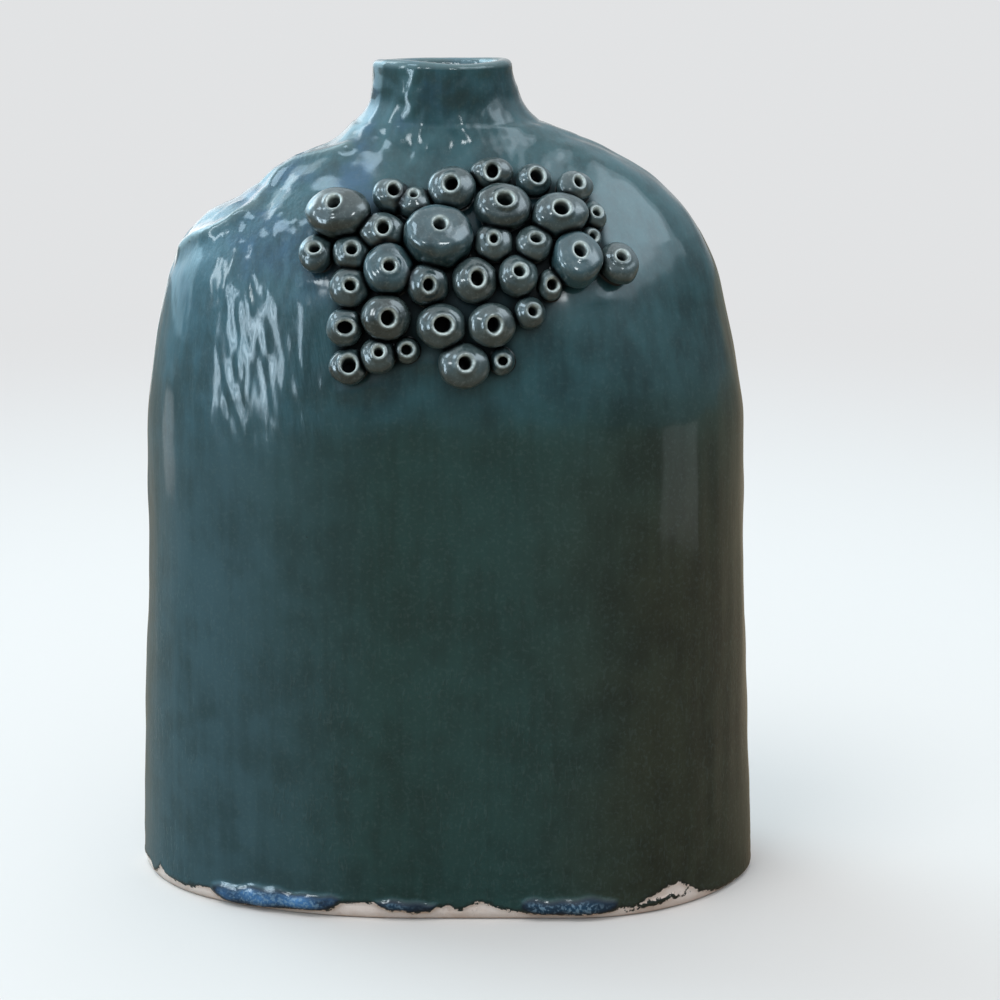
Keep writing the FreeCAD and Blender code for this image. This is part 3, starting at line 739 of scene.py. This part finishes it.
# draws net points onto the surface itself
def settle(points, distance, passes=3):
    reach = 0.03
    for _ in range(passes):
        here = distance(points)
        slope = np.stack(
            [(distance(points + way) - distance(points - way)) / (2 * reach) for way in np.eye(3) * reach],
            axis=-1,
        )
        steep = np.maximum((slope**2).sum(axis=-1), 0.25)
        move = slope * (here / steep)[:, None]
        length = np.linalg.norm(move, axis=1, keepdims=True)
        points = points - move * np.minimum(1, 0.2 / np.maximum(length, 1e-6))
    return points


# marks the body's glaze where it pools round and between the beads, where it also goes dark with painted
# shade
def paintPoolShade(skin, made):
    count = len(skin.data.vertices)
    points = np.empty(count * 3)
    skin.data.vertices.foreach_get("co", points)
    points = points.reshape(-1, 3) / mm
    poolShade = np.zeros(count)
    x, y, z = points.T
    low, high = crust["poolShadeUp"]
    near = (y < crust["poolShadeDeep"]) & (z > low) & (z < high) & (np.abs(x) < crust["poolShadeAcross"])
    for bead in made:
        off = np.clip(bead.solid(bead.local(points[near])), 0, None)
        poolShade[near] += np.exp(-off / crust["poolShadeReach"])
    paint(skin, "poolShade", poolShade)


# what the material reads: the lip, the hole, which is painted near-black as shade, how open each point
# lies, which sets the painted shade in the crevices, and the bead's tone
def paintBead(ball, points, bead, made, wall):
    q = bead.local(points)
    out, radius = bead.holeAt(q), bead.hole / 2
    level = q[:, 2] / bead.stand
    paint(ball, "lip", bump(out, radius + 0.3, 0.5) * smoothstep(0.6, 0.8, level))
    inHole = 1 - smoothstep(radius - 0.15, radius + 0.2, out)
    paint(ball, "hole", inHole * smoothstep(0.98, 0.86, level))
    nearest = wall.distance(points) * 1.2
    for other in made:
        if other is not bead and np.linalg.norm(other.seat - bead.seat) < crust["neighbours"]:
            nearest = np.minimum(nearest, other.distance(points))
    paint(ball, "open", smoothstep(*crust["openAt"], nearest))
    paint(ball, "tone", np.full(len(points), bead.tone))


def buildBeads(wall, skin, material):
    made = [Bead(index, wall) for index in range(len(beads))]
    paintPoolShade(skin, made)
    step = crust["step"] * 1
    objects = []
    for index, bead in enumerate(made):
        reach = max(bead.width, bead.height) / 2 + 4
        middle = bead.seat + bead.axes[2] * bead.stand * 0.4
        low = middle - reach
        count = int(2 * reach / step) + 2
        ticks = [low[axis] + step * np.arange(count) for axis in range(3)]
        field = np.stack(np.meshgrid(*ticks, indexing="ij"), axis=-1)
        points, faces = netOf(bead.skin(field.reshape(-1, 3)).reshape(count, count, count), low, step)
        points = settle(points, bead.skin)
        ball = makeObject(f"bead{index + 1:02d}", points, faces)
        paintBead(ball, points, bead, made, wall)
        ball.data.materials.append(material)
        objects.append(ball)
    return objects


# Noise in the glaze: waves to a metre, detail, roughness and how drawn out it is downwards.
mottle = {
    "cloud": (28, 4, 0.6, 1),
    "patch": (110, 3, 0.6, 1),
    "grain": (900, 2, 0.6, 1),
    "runs": (330, 3, 0.55, 0.09),
    "fine": (1200, 2, 0.6, 0.14),
    "dash": (1150, 1, 0.4, 0.26),
    "pins": 140,
    "pinColour": (0.003, 0.006, 0.007, 1),  # as linear light
    "roughness": (0.1, 0.17),
}


# mottle, runs, specks and pinholes of the glaze, for every glazed piece
def makeGlazeGroup():
    group = bpy.data.node_groups.new("glazeSurface", "ShaderNodeTree")
    n = Nodes(group)
    n.socket("Place", "Vector")
    for name in ("Deep", "Mid", "Pale"):
        n.socket(name, "Color")
    for name in ("Thin", "Specks", "Grain"):
        n.socket(name, "Float")
    n.socket("Colour", "Color", "OUTPUT")
    n.socket("Height", "Float", "OUTPUT")
    n.socket("Roughness", "Float", "OUTPUT")
    given, result = n.add("NodeGroupInput").outputs, n.add("NodeGroupOutput").inputs
    place = given["Place"]

    def drawn(kind):
        scale, detail, rough, share = mottle[kind]
        return n.noise(place if share == 1 else n.stretch(place, (1, 1, share)), scale, detail, rough)

    cloud, patch, runs = drawn("cloud"), drawn("patch"), drawn("runs")
    tone = n.weigh((cloud, 0.5), (patch, 0.25), (runs, 0.25))
    colour = n.mix(n.span(tone, 0.36, 0.62), given["Deep"], given["Mid"])
    grains = n.product(n.span(drawn("grain"), 0.5, 0.72), given["Grain"])
    colour = n.mix(grains, colour, given["Pale"])
    dashes = n.product(n.span(drawn("dash"), 0.6, 0.68), given["Specks"])
    colour = n.mix(n.product(dashes, 0.08), colour, given["Pale"])
    colour = n.mix(given["Thin"], colour, given["Pale"])
    pin = n.add("ShaderNodeTexVoronoi", {"Vector": place, "Scale": mottle["pins"]})
    pinned = n.span(n.noise(place, 60), 0.52, 0.6)
    pits = n.product(n.span(pin.outputs["Distance"], 0.05, 0.02), pinned)
    colour = n.mix(n.product(pits, 0.7), colour, mottle["pinColour"])
    height = n.weigh((runs, 0.35), (patch, 0.4), (drawn("fine"), 0.05), (dashes, 0.3))
    n.feed(result, {
        "Colour": colour,
        "Height": n.maths("SUBTRACT", height, n.product(pits, 0.5)),
        "Roughness": n.span(cloud, 0.3, 0.7, mottle["roughness"]),
    })
    return group


def newMaterial(name):
    material = bpy.data.materials.new(name)
    material.use_nodes = True
    n = Nodes(material.node_tree)
    return material, n, material.node_tree.nodes["Principled BSDF"].inputs


def dent(n, shader, height, strength, depth):
    made = n.add("ShaderNodeBump", {"Height": height, "Strength": strength, "Distance": depth})
    n.feed(shader, {"Normal": made.outputs[0]})


def useGroup(n, group, **values):
    return n.add("ShaderNodeGroup", values, node_tree=group).outputs


clay = {
    "colour": (1.0, 0.93, 0.895),
    "shadow": (0.93, 0.84, 0.79),
    "grog": (0.68, 0.58, 0.52),  # coarser grains in the clay
    "roughness": 0.82,
}


# colour and relief of the bare clay
def clayLook(n, place):
    grain = n.noise(place, 1500, 3, 0.7)
    stain = n.noise(place, 90, 3, 0.6)
    colour = n.mix(n.span(stain, 0.4, 0.7), linear(clay["colour"]), linear(clay["shadow"]))
    grog = n.product(n.span(grain, 0.6, 0.75), 0.35)
    return n.mix(grog, colour, linear(clay["grog"])), grain


# The body's glaze: deep and mid are the two ends of its mottle, low and high on the wall. The high and the
# left ones are lighter: partly the glaze's own tone, partly painted light where the upper wall leans back
# to the sky and the left side faces the window.
glaze = {
    "lowDeep": (0.105, 0.22, 0.215),
    "lowMid": (0.14, 0.275, 0.27),
    # the high colours are lighter partly as the glaze's tone and partly as painted light on the upper wall
    "highDeepLit": (0.125, 0.235, 0.25),
    "highMidLit": (0.2, 0.355, 0.38),
    # the left colours are lighter partly as the glaze's tone and partly as painted light from the window
    # side
    "leftDeepLit": (0.19, 0.305, 0.335),
    "leftLowLit": (0.25, 0.375, 0.42),
    "leftHighLight": (0.24, 0.395, 0.45),
    "cloud": (0.21, 0.355, 0.45),
    "pale": (0.41, 0.49, 0.49),
    "olive": (0.195, 0.203, 0.145),
    "oliveDeep": (0.125, 0.13, 0.09),
    "rollBlue": (0.3, 0.52, 0.74),
    "rollTeal": (0.11, 0.27, 0.38),
    # the dark blue of the rolls' thin edges: partly the glaze's own change, partly painted shade where the
    # rolls turn away
    "rollDeepShade": (0.05, 0.11, 0.18),
    # milky glaze together with a painted highlight on the crests of the rolls
    "milkAndHighlight": (0.58, 0.71, 0.8),
    # pooled glaze with painted shade in the crevices round the beads: near-black
    "poolShade": (0.02, 0.04, 0.045),
    "rim": (0.006, 0.011, 0.013, 1),  # the edge over the clay, as linear light
    "specular": 0.06,
    "coat": 0.85,
    "coatRoughness": 0.125,
}

# Where that glaze changes, in metres: from where to where.
zones = {
    "highUp": (0.172, 0.2),
    "oliveAcross": (0.03, 0.085),
    "oliveUp": (0.2, 0.1),
    "leftAcross": (-0.005, -0.06),
    "cloudUp": (0.175, 0.2),
    "cloudAcross": (0.03, -0.02),
    "speckUp": (0.125, 0.06),
    "tealRolls": (-0.03, -0.02),
    "wipedMiddle": 0.052,  # to the left
    "wipedAcross": (0.03, 0.01),
    "wipedUp": (0.135, 0.16),
}


# the two ends of the body's mottle, by place, with painted light that lightens the upper wall and the left
# side
def bodyTones(n, place, x, z):
    wander = n.product(n.noise(place, 30, 3), 0.03)
    drift = n.product(n.noise(n.stretch(place, (1, 1, 1.8)), 16, 4, 0.6), 0.07)
    # painted light: the upper wall, leaning back to the sky, turns lighter and bluer
    high = n.span(n.plus(z, drift), *zones["highUp"])
    deep = n.mix(high, linear(glaze["lowDeep"]), linear(glaze["highDeepLit"]))
    mid = n.mix(high, linear(glaze["lowMid"]), linear(glaze["highMidLit"]))
    right = n.span(n.plus(x, wander), *zones["oliveAcross"])
    right = n.product(right, n.span(z, *zones["oliveUp"]), 0.8)
    mid = n.mix(right, mid, linear(glaze["olive"]))
    deep = n.mix(right, deep, linear(glaze["oliveDeep"]))
    # painted light: the left side, towards the window, turns lighter
    left = n.span(n.plus(x, n.product(wander, 0.6)), *zones["leftAcross"])
    leftMidLit = n.mix(high, linear(glaze["leftLowLit"]), linear(glaze["leftHighLight"]))
    mid = n.mix(n.product(left, 0.8), mid, leftMidLit)
    deep = n.mix(n.product(left, 0.85), deep, linear(glaze["leftDeepLit"]))
    upper = n.product(n.span(z, *zones["cloudUp"]), n.span(x, *zones["cloudAcross"]))
    clouds = n.product(upper, n.span(n.noise(place, 38, 4, 0.6), 0.44, 0.6))
    return deep, n.mix(clouds, mid, linear(glaze["cloud"]))


# blue of the thick rolls, dark at their thin edges as painted shade, and milky where it is thickest, a
# paler patch that is partly milky glaze and partly a painted highlight
def rollColour(n, place, x, proud):
    streaky = n.noise(n.stretch(place, (0.3, 1, 1)), 420, 3, 0.6)
    blue = n.mix(n.span(x, *zones["tealRolls"]), linear(glaze["rollBlue"]), linear(glaze["rollTeal"]))
    thick = n.plus(proud, n.product(n.maths("SUBTRACT", streaky, 0.5), 1.2))
    # painted shade: dark blue towards the rolls' thin edges
    blue = n.mix(n.span(thick, 0.7, 2.1), linear(glaze["rollDeepShade"]), blue)
    # painted highlight, partly milky glaze: paler specks on the rolls' crests
    milkAndHighlight = n.product(n.span(proud, 0.9, 1.6), n.span(n.noise(place, 1100, 3), 0.46, 0.62), 0.5)
    return n.mix(milkAndHighlight, blue, linear(glaze["milkAndHighlight"]))


# fine fanned lines of the wiped streaks at the upper left
def brushedRelief(n, x, y, z):
    across = n.plus(x, n.product(z, 0.22))
    fan = n.add("ShaderNodeCombineXYZ", enumerate((across, y, n.product(z, 0.1))))
    aside = n.maths("ABSOLUTE", n.plus(x, zones["wipedMiddle"]))
    wiped = n.product(n.span(aside, *zones["wipedAcross"]), n.span(z, *zones["wipedUp"]), 2.2)
    return n.maths("MULTIPLY", n.noise(fan.outputs[0], 620, 3, 0.6), wiped)


def makeBodyMaterial(group):
    material, n, shader = newMaterial("tealGlaze")
    place = n.place()
    x, y, z = n.split(place)
    ragged = n.span(n.noise(place, 460, 4, 0.68), 0.3, 0.7, (-0.4, 1.3))
    edge = n.plus(n.attribute("glazeAt"), ragged)
    glazed = n.span(edge, 0.35, 0.6)
    deep, mid = bodyTones(n, place, x, z)
    thin = n.product(n.attribute("thin"), 0.75)
    specks = n.product(n.span(z, *zones["speckUp"]), n.span(n.noise(place, 45, 2), 0.4, 0.6))
    look = useGroup(n, group, Place=place, Deep=deep, Mid=mid, Pale=linear(glaze["pale"]),
                    Thin=thin, Specks=specks, Grain=0.1)
    proud = n.attribute("proud")
    roll = n.span(proud, 0.15, 1.0)
    colour = n.mix(n.product(roll, 0.9), look["Colour"], rollColour(n, place, x, proud))
    # painted shade: pooled glaze and the crevices round the beads go near-black, with less coat
    poolShade = n.span(n.attribute("poolShade"), 0.35, 1.3)
    colour = n.mix(n.product(poolShade, 0.95), colour, linear(glaze["poolShade"]))
    rim = n.product(n.span(edge, 2.2, 0.7), n.maths("SUBTRACT", 1.0, roll), 0.55)
    colour = n.mix(rim, colour, glaze["rim"])
    bare, grain = clayLook(n, place)
    n.feed(shader, {
        "Base Color": n.mix(glazed, bare, colour),
        "Roughness": n.plus(n.span(glazed, 1.0, 0.0, (0.25, 0.7)), look["Roughness"]),
        "Specular IOR Level": glaze["specular"],
        "Coat Weight": n.product(glazed, n.span(poolShade, 0.9, 0.0, (0.03, glaze["coat"]))),
        "Coat Roughness": glaze["coatRoughness"],
    })
    brushed = brushedRelief(n, x, y, z)
    pitted = n.product(n.noise(place, 780, 3, 0.55), n.product(specks, 0.35))
    beaded = n.product(roll, n.product(n.noise(place, 1500, 2), 0.35))
    height = n.plus(look["Height"], n.product(grain, 0.05), brushed, pitted, beaded)
    dent(n, shader, height, 0.6, 0.0006)
    return material


beadGlaze = {
    "deep": (0.145, 0.185, 0.18),
    "mid": (0.28, 0.33, 0.33),
    "pale": (0.5, 0.54, 0.53),
    "lip": (0.8, 0.84, 0.82),
    "tealDeep": (0.12, 0.19, 0.20),
    "tealMid": (0.22, 0.325, 0.35),
    # dark is painted shade for the crevices between the beads and by the wall
    "dark": (0.015, 0.03, 0.035),
    # painted shade: near-black down the holes
    "hole": (0.0006, 0.001, 0.0012, 1),  # as linear light
    "specular": 0.25,
    "coat": 1.0,
    "coatRoughness": 0.07,
}


def makeBeadMaterial(group):
    material, n, shader = newMaterial("beadGlaze")
    place = n.place()
    tone, hole = n.attribute("tone"), n.attribute("hole")
    deep = n.mix(tone, linear(beadGlaze["deep"]), linear(beadGlaze["tealDeep"]))
    mid = n.mix(tone, linear(beadGlaze["mid"]), linear(beadGlaze["tealMid"]))
    look = useGroup(n, group, Place=place, Deep=deep, Mid=mid, Pale=linear(beadGlaze["pale"]),
                    Thin=0, Specks=0, Grain=0.22)
    lip = n.product(n.attribute("lip"), n.span(n.noise(place, 420, 2), 0.3, 0.62, (0.3, 1)))
    colour = n.mix(lip, look["Colour"], linear(beadGlaze["lip"]))
    # painted shade: where a bead is closed in by its neighbours and the wall it goes dark
    creviceShade = n.span(n.attribute("open"), 1.0, 0.0)
    colour = n.mix(creviceShade, colour, linear(beadGlaze["dark"]))
    dull = n.maths("MAXIMUM", hole, n.product(creviceShade, 0.8))
    # painted shade: the hole goes near-black
    n.feed(shader, {
        "Base Color": n.mix(hole, colour, beadGlaze["hole"]),
        "Roughness": n.maths("MAXIMUM", hole, n.plus(look["Roughness"], 0.16)),
        "Specular IOR Level": beadGlaze["specular"],
        "Coat Weight": n.span(dull, 1.0, 0.0, (0.02, beadGlaze["coat"])),
        "Coat Roughness": beadGlaze["coatRoughness"],
    })
    speckle = n.product(n.noise(place, 1300, 3, 0.6), 0.28)
    dent(n, shader, n.plus(look["Height"], speckle), 0.5, 0.0005)
    return material


def makeClayMaterial():
    material, n, shader = newMaterial("bareClay")
    colour, grain = clayLook(n, n.place())
    n.feed(shader, {"Base Color": colour, "Roughness": clay["roughness"]})
    dent(n, shader, grain, 0.35, 0.0003)
    return material


# Rings of the clay plate, from the middle of its top out, down and back under: height, and share
# of its outline.
plateRings = [(5.9, 0.002), (6.0, 0.5), (6.0, 0.9), (5.8, 0.985), (5.4, 0.992), (0.9, 0.992),
              (0.4, 0.985), (0.25, 0.9), (0.3, 0.5), (0.3, 0.002)]


# the flat clay slab inside the foot, seen from under the vase and down the neck
def buildPlate(outline):
    middle = outline.mean(axis=0)
    rings = []
    for height, share in plateRings:
        ring = middle + (outline - middle) * share
        ring[:, 2] = height
        rings.append(ring)
    count, columns = len(rings), len(outline)
    faces = ringFaces(count, columns, flipped=True)
    faces.append(tuple(range(columns)))
    faces.append(tuple(range((count - 1) * columns, count * columns))[::-1])
    return makeObject("footPlate", np.concatenate(rings), faces)


# The room. Its light is linear, by height: level, half way up and overhead.
stage = {
    "size": 60000,  # half the floor's width
    "floor": (0.56, 0.49, 0.41),
    "floorSeen": (0.865, 0.835, 0.815),
    "far": (0.885, 0.89, 0.895),  # what the floor fades to away from the vase
    "low": (0.24, 0.27, 0.29),
    "middle": (0.74, 0.88, 0.98),
    "high": (1.18, 1.27, 1.33),
    "left": (2.0, 2.4, 2.6),  # how much brighter the window side is
    "behind": (2.8, 3.0, 3.0),  # and what lies behind the vase on that side
    "wall": (0.74, 0.76, 0.78),  # straight behind the vase
}


# 1 for what the camera sees straight on
def seenBy(n):
    return n.add("ShaderNodeLightPath").outputs["Is Camera Ray"]


def buildFloor():
    size = stage["size"]
    points = [(-size, -size, 0), (size, -size, 0), (size, size, 0), (-size, size, 0)]
    floor = makeObject("floor", points, [(0, 1, 2, 3)], smooth=False)
    material, n, shader = newMaterial("paleFloor")
    place = n.place()
    worn = linear([c * 0.985 for c in stage["floor"]])
    plain = n.mix(n.span(n.noise(place, 40, 3), 0.3, 0.7), linear(stage["floor"]), worn)
    reach = n.add("ShaderNodeVectorMath", {0: place}, operation="LENGTH").outputs["Value"]
    far = n.product(n.span(reach, 0.3, 1.0), seenBy(n))
    colour = n.mix(seenBy(n), plain, linear(stage["floorSeen"]))
    n.feed(shader, {
        "Base Color": n.mix(far, colour, (0, 0, 0, 1)),
        "Roughness": 0.9,
        "Specular IOR Level": 0.0,
        "Emission Color": linear(stage["far"]),
        "Emission Strength": far,
    })
    floor.data.materials.append(material)


def buildWorld():
    world = bpy.data.worlds.new("studio")
    world.use_nodes = True
    bpy.context.scene.world = world
    w = Nodes(world.node_tree)
    sky = world.node_tree.nodes["Background"].inputs
    across, back, up = w.split(w.add("ShaderNodeTexCoord").outputs["Generated"])
    low, middle, high, left, behind, wall = (
        (*stage[name], 1) for name in ("low", "middle", "high", "left", "behind", "wall"))
    room = w.mix(w.span(up, 0.05, 0.55), low, middle)
    room = w.mix(w.span(up, 0.5, 0.95), room, high)
    onLeft = w.product(w.span(across, -0.3, -0.85), w.span(up, 0.8, 0.4))
    room = w.mix(onLeft, room, w.mix(1.0, room, left, "MULTIPLY"))
    atBack = w.product(w.span(across, -0.3, -0.5), w.span(back, 0.2, 0.3))
    room = w.mix(atBack, room, w.mix(1.0, room, behind, "MULTIPLY"))
    room = w.mix(w.span(back, 0.8, 0.93), room, wall)
    w.feed(sky, {"Color": w.mix(seenBy(w), room, linear(stage["far"])), "Strength": 1.0})


# Soft lights: place, what it looks at, width and height in metres, power in watts and colour.
# The overhead one lights the vase, the others only show in its glaze.
lights = {
    "overhead": ((-0.35, -0.45, 1.3), (0, 0, 0.12), 0.5, 0.5, 4.2, (1.0, 0.98, 0.96)),
    "window": ((-0.44, -0.34, 0.215), (-0.05, -0.03, 0.18), 0.16, 0.21, 0.31, (0.6, 0.82, 1.0)),
    "leftPane": ((-0.474, -0.297, 0.22), (-0.05, -0.03, 0.18), 0.025, 0.2, 0.19, (0.7, 0.88, 1.0)),
    "middlePane": ((-0.437, -0.344, 0.23), (-0.05, -0.03, 0.18), 0.03, 0.17, 0.28, (0.7, 0.88, 1.0)),
    "rightPane": ((-0.409, -0.379, 0.21), (-0.05, -0.03, 0.18), 0.02, 0.2, 0.14, (0.7, 0.88, 1.0)),
    "skylight": ((-0.47, -0.27, 0.86), (-0.05, -0.03, 0.2), 0.22, 0.24, 1.4, (0.64, 0.85, 1.0)),
    "neckWindow": ((-0.8, -0.25, 0.5), (-0.02, 0, 0.24), 0.1, 0.3, 1.1, (0.78, 0.92, 1.0)),
    "rollLeft": ((-0.23, -0.44, 0.41), (-0.05, -0.05, 0.0), 0.08, 0.07, 0.26, (0.85, 0.95, 1.0)),
    "rollRight": ((0.14, -0.46, 0.43), (0.04, -0.05, 0.0), 0.08, 0.06, 0.26, (0.9, 0.97, 1.0)),
    "leftBack": ((-0.42, 0.85, 0.25), (-0.05, 0, 0.15), 0.3, 0.7, 1.0, (0.94, 0.98, 1.0)),
    "leftHighLight": ((-0.8, 0.4, 0.75), (-0.05, 0, 0.2), 0.2, 0.5, 1.2, (0.90, 0.97, 1.0)),
    "leftFloor": ((-0.55, 0.16, 0.06), (-0.08, -0.02, 0.06), 0.16, 0.1, 0.05, (0.93, 0.97, 1.0)),
    "rightSky": ((0.62, -0.25, 0.8), (0.05, 0, 0.2), 0.5, 0.46, 1.9, (0.76, 0.9, 1.0)),
    "rightHaze": ((0.63, -0.25, 0.81), (0.05, 0, 0.2), 0.78, 0.7, 2.9, (0.76, 0.9, 1.0)),
    "rightWall": ((0.3, -0.105, 0.1), (0.07, -0.035, 0.12), 0.14, 0.09, 0.02, (0.85, 0.96, 1.0)),
}


def buildLights():
    for name, (place, target, width, height, power, colour) in lights.items():
        lamp = bpy.data.lights.new(name, "AREA")
        lamp.shape = "RECTANGLE"
        lamp.size, lamp.size_y, lamp.energy, lamp.color = width, height, power, colour
        made = linkNew(name, lamp)
        made.location = place
        made.rotation_euler = (Vector(target) - Vector(place)).to_track_quat("-Z", "Y").to_euler()
        made.visible_diffuse = name == "overhead"
        made.visible_glossy = name != "overhead"
        made.visible_camera = False


# The photo's viewpoint, in metres, and how far the camera is tipped up from looking down.
view = {"place": (0.01635, -0.68062, 0.29289), "tip": 75.563, "lens": 83.2, "sensor": 36}


def buildCamera():
    lens = bpy.data.cameras.new("camera")
    lens.lens, lens.sensor_width = view["lens"], view["sensor"]
    made = linkNew("camera", lens)
    made.location = view["place"]
    made.rotation_euler = (math.radians(view["tip"]), 0, 0)
    bpy.context.scene.camera = made


buildFloor()
buildWorld()
buildLights()
buildCamera()
bpy.context.scene.view_settings.view_transform = "Standard"
print("stage, light and camera")

glazeGroup = makeGlazeGroup()
bodyMaterial = makeBodyMaterial(glazeGroup)
beadMaterial = makeBeadMaterial(glazeGroup)
clayMaterial = makeClayMaterial()
print("materials")

pressed, pressedInputs = skinTree()
vaseBody, footRing = buildBody()
pressing = {
    "Undulation": body["undulation"] * mm * 2,
    "Undulation Size": body["undulationSize"] * mm,
    "Ripple": body["ripple"] * mm * 2,
    "Ripple Size": body["rippleSize"] * mm,
    "Seed": body["seed"],
}
pressClay(vaseBody, pressed, pressedInputs, pressing, bodyMaterial)
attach(vaseBody, "root")
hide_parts("front_slab", "back_slab", "neck_collar")
print("body", len(vaseBody.data.polygons))

footPlate = buildPlate(footRing)
footPlate.data.materials.append(clayMaterial)
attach(footPlate, "root")
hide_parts("floor_slab")

beadObjects = buildBeads(Wall(vaseBody), vaseBody, beadMaterial)
beadNames = [f"bead_{number:02d}" for number in range(1, 36)]
for ball, nodeName in zip(beadObjects, beadNames):
    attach(ball, "root")
    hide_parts(nodeName)
print("beads", sum(len(ball.data.polygons) for ball in beadObjects))
